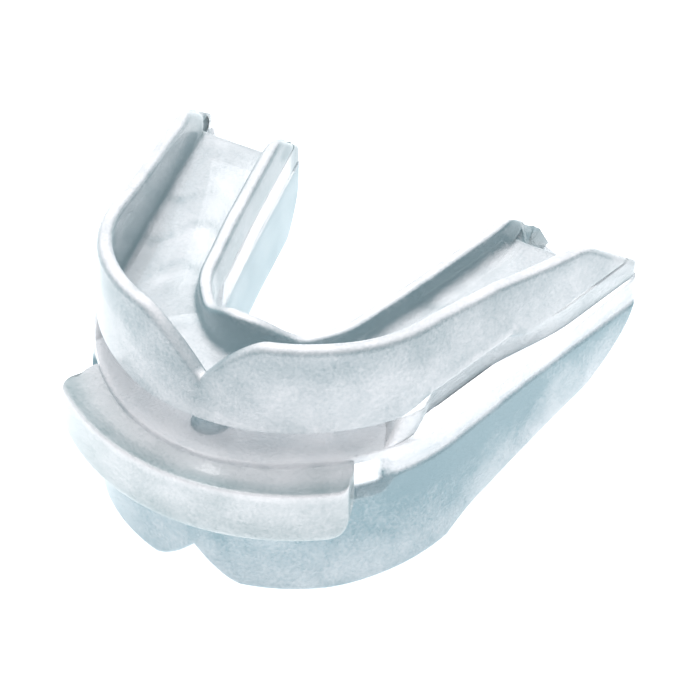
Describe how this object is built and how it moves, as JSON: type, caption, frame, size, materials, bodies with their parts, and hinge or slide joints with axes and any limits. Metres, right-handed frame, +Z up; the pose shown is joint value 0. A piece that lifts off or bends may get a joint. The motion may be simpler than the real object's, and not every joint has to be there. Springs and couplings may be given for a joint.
{
  "type": "mouthguard",
  "caption": "Clear moulded double-arch sports mouthguard: upper and lower tooth trays joined by bite wedges, with a front breathing gap and a curved lip shield",
  "frame": {"origin": "centre of the bottom of the box around the whole part", "axes": "+Z up toward the upper teeth, -Y out through the lips, arms toward +Y, left and right halves mirrored across X = 0"},
  "size_m": [0.069, 0.065, 0.0395],
  "materials": {
    "upper_tray": "satin, translucent",
    "lower_tray": "satin, translucent",
    "bite_wedge_left": "satin, translucent",
    "bite_wedge_right": "satin, translucent",
    "airway_post": "satin, translucent",
    "lip_shield": "satin, translucent"
  },
  "bodies": {
    "root": {"upper_tray": "upper_tray", "lower_tray": "lower_tray", "bite_wedge_left": "bite_wedge_left", "bite_wedge_right": "bite_wedge_right", "airway_post": "airway_post", "lip_shield": "lip_shield"}
  },
  "joints": []
}
